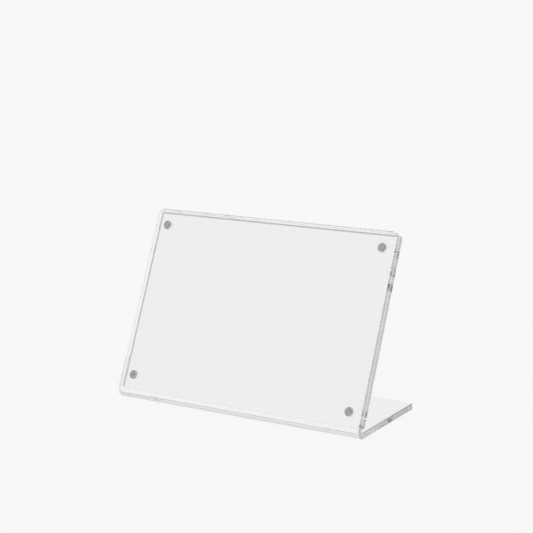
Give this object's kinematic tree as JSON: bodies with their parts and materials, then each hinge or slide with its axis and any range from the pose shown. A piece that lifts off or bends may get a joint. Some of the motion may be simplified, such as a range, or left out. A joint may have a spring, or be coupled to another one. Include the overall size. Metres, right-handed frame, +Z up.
{
  "type": "magnetic photo stand",
  "caption": "Desk photo stand: a clear acrylic sheet bent into an L, with a blank photo card held behind its leaning panel by a clear back plate and corner magnets.",
  "frame": {"origin": "on the table under the middle of the bounding box", "axes": "+Z up, +X along the width, the stand faces -Y, the foot runs back along +Y"},
  "size_m": [0.13, 0.0564, 0.088],
  "materials": {
    "clear_acrylic": "polished",
    "magnet_nickel": "satin",
    "cured_adhesive": "gloss",
    "photo_paper": "matte"
  },
  "bodies": {
    "stand": {"l_stand": "clear_acrylic", "stand_magnet_top_left": "magnet_nickel", "stand_magnet_top_right": "magnet_nickel", "stand_magnet_bottom_left": "magnet_nickel", "stand_magnet_bottom_right": "magnet_nickel", "stand_magnet_glue_top_left": "cured_adhesive", "stand_magnet_glue_top_right": "cured_adhesive", "stand_magnet_glue_bottom_left": "cured_adhesive", "stand_magnet_glue_bottom_right": "cured_adhesive"},
    "plate": {"back_plate": "clear_acrylic", "plate_magnet_top_left": "magnet_nickel", "plate_magnet_top_right": "magnet_nickel", "plate_magnet_bottom_left": "magnet_nickel", "plate_magnet_bottom_right": "magnet_nickel", "plate_magnet_glue_top_left": "cured_adhesive", "plate_magnet_glue_top_right": "cured_adhesive", "plate_magnet_glue_bottom_left": "cured_adhesive", "plate_magnet_glue_bottom_right": "cured_adhesive"},
    "card": {"photo_card": "photo_paper"}
  },
  "joints": [
    {"name": "plate_lift", "type": "slide", "parent": "stand", "child": "plate", "axis": [0, 1, 0], "range_m": [0, 0.04]},
    {"name": "card_slide", "type": "slide", "parent": "stand", "child": "card", "axis": [0, 0.4067, 0.9135], "range_m": [0, 0.095]}
  ]
}
